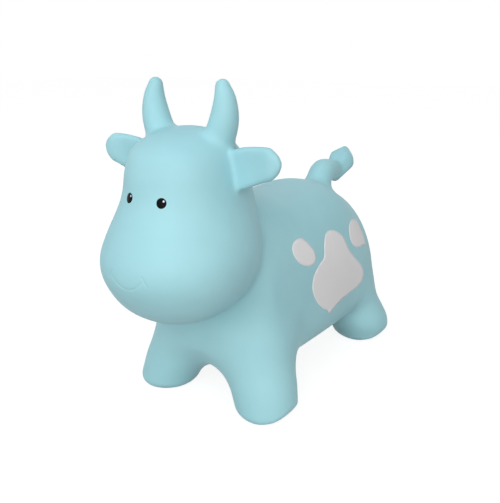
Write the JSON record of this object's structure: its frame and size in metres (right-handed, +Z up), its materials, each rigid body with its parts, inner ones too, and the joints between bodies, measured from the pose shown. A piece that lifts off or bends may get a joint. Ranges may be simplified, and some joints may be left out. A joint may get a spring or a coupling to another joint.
{
  "type": "cow hopper",
  "caption": "Inflatable ride-on cow with a round body, stub legs, horns to hold, leaf ears, tufted tail, printed spots and eyes, and a pull-out air plug under the belly.",
  "frame": {"origin": "on the floor, under the middle of the whole cow", "axes": "+Z up, the cow faces -Y, its left side is +X"},
  "size_m": [0.3014, 0.6426, 0.4938],
  "materials": {
    "skin": "satin soft PVC",
    "spot_ink": "matt ink",
    "eye_ink": "gloss ink",
    "glint_ink": "gloss ink",
    "valve": "satin moulded",
    "plug": "satin moulded"
  },
  "bodies": {
    "hopper": {"torso_skin": "skin", "head_skin": "skin", "tail": "skin", "leg_front_left": "skin", "leg_front_right": "skin", "leg_rear_left": "skin", "leg_rear_right": "skin", "horn_left": "skin", "horn_right": "skin", "ear_left": "skin", "ear_right": "skin", "spot_front_left": "spot_ink", "spot_large_left": "spot_ink", "spot_rear_left": "spot_ink", "spot_front_right": "spot_ink", "spot_large_right": "spot_ink", "spot_rear_right": "spot_ink", "eye_left": "eye_ink", "eye_right": "eye_ink", "eye_glint_left": "glint_ink", "eye_glint_right": "glint_ink", "valve_seat": "valve"},
    "plug": {"air_plug": "plug"}
  },
  "joints": [
    {"name": "plug_pull", "type": "slide", "parent": "hopper", "child": "plug", "axis": [0, 0, -1], "range_m": [0, 0.025]}
  ]
}
